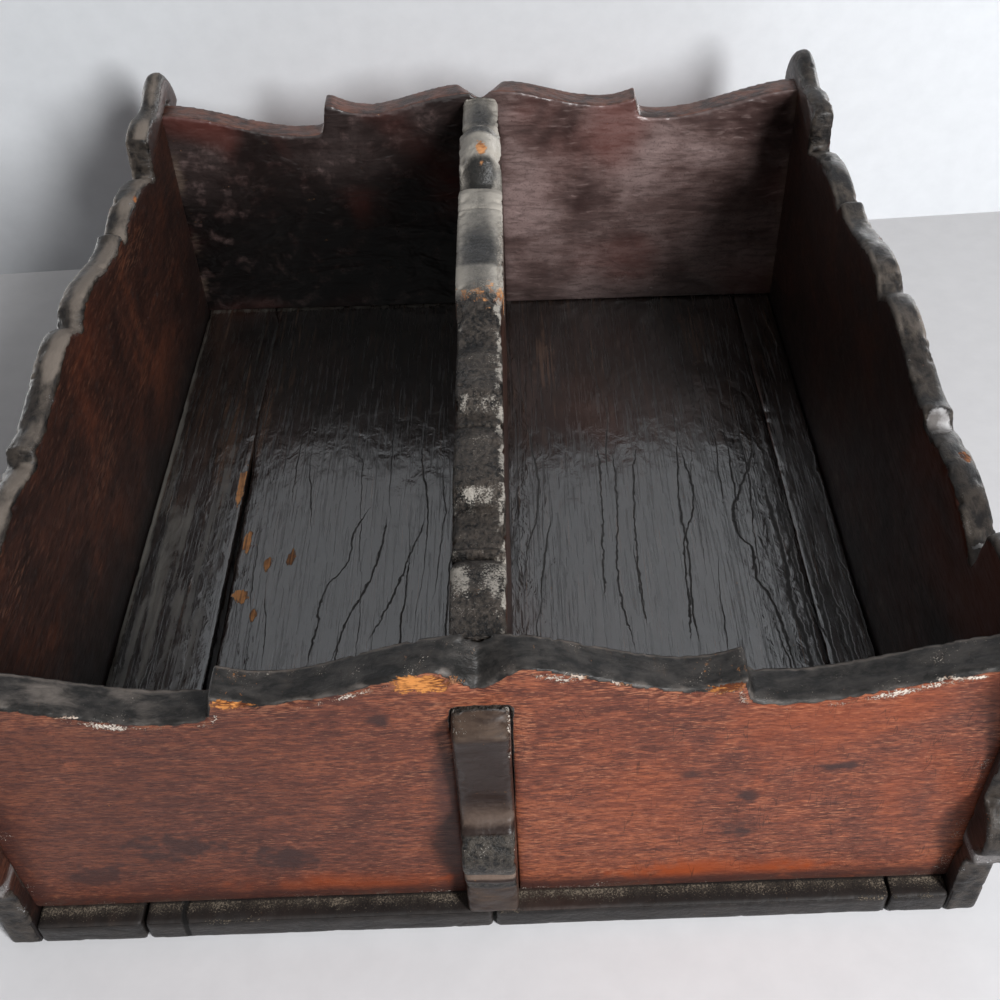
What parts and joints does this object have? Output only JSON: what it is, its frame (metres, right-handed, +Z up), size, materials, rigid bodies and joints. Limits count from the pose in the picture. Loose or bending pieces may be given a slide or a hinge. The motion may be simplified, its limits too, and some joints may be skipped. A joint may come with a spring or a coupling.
{
  "type": "carved wooden tray with a divider",
  "caption": "Open rectangular wooden tray with scalloped rims, a carved divider between its compartments, and side boards with shaped feet and finials, for small household things.",
  "frame": {"origin": "on the ground under the middle of the tray", "axes": "+X to the right of someone facing the front wall, +Y from front to back, +Z up"},
  "size_m": [0.214, 0.2554, 0.0912],
  "materials": {
    "wall_wood": "stained and varnished, worn",
    "side_wood": "stained dark, black painted edges",
    "divider_wood": "black paint, worn and glossy",
    "floor_wood": "dark varnish, crackled",
    "nail_iron": "dark iron under paint"
  },
  "bodies": {
    "root": {"side_board_left": "side_wood", "side_board_right": "side_wood", "front_wall": "wall_wood", "back_wall": "wall_wood", "divider": "divider_wood", "floor_left_strip": "floor_wood", "floor_left_board": "floor_wood", "floor_right_board": "floor_wood", "floor_right_strip": "floor_wood", "nails_front_left": "nail_iron", "nails_front_right": "nail_iron", "nails_back_left": "nail_iron", "nails_back_right": "nail_iron", "nails_floor_left": "nail_iron", "nails_floor_right": "nail_iron", "nails_under_front": "nail_iron", "nails_under_back": "nail_iron", "nails_under_divider": "nail_iron"}
  },
  "joints": []
}
